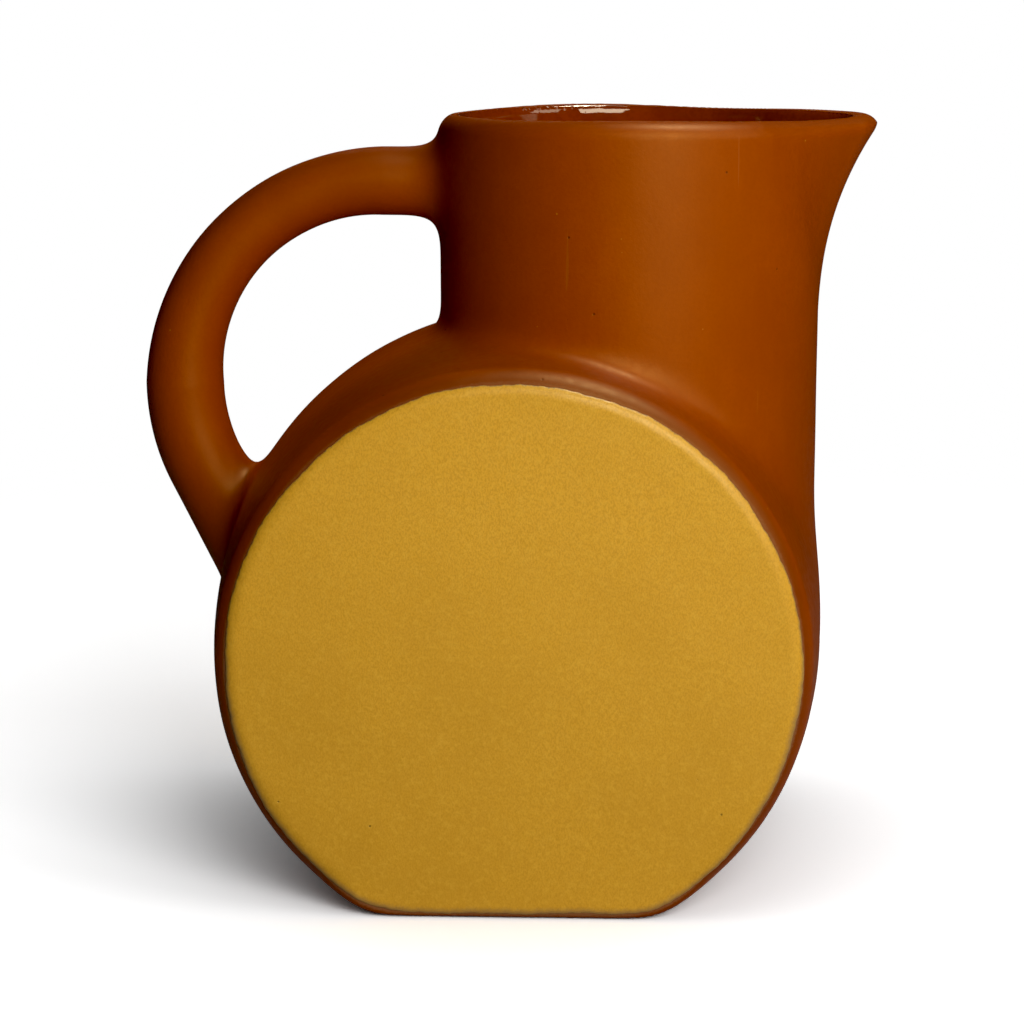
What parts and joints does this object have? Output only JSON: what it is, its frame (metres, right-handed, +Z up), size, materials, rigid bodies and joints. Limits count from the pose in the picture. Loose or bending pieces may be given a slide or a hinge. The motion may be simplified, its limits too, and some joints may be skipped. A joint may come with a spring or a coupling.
{
  "type": "ceramic pitcher",
  "caption": "Free-standing terracotta pitcher with a drum-shaped body lying on its side, yellow glazed flat faces, a round neck with a pulled pouring lip and a loop handle.",
  "frame": {"origin": "on the flat underside of the foot, straight below the drum's axis and half way between the two faces", "axes": "+Z up along the height; +Y along the drum's axis towards the rear face; +X towards the pouring lip, with the handle on the -X side"},
  "size_m": [0.1958, 0.1296, 0.2006],
  "materials": {
    "terracotta": "smooth unglazed terracotta with a faint burnished sheen",
    "yellow_glaze": "satin mottled golden-yellow glaze",
    "brown_glaze": "glossy dark red-brown liner glaze"
  },
  "bodies": {
    "root": {"front_wall": "terracotta", "rear_wall": "terracotta", "drum_wall": "terracotta", "foot_slab": "terracotta", "neck": "terracotta", "handle": "terracotta", "front_glaze": "yellow_glaze", "rear_glaze": "yellow_glaze", "inner_glaze": "brown_glaze"}
  },
  "joints": []
}
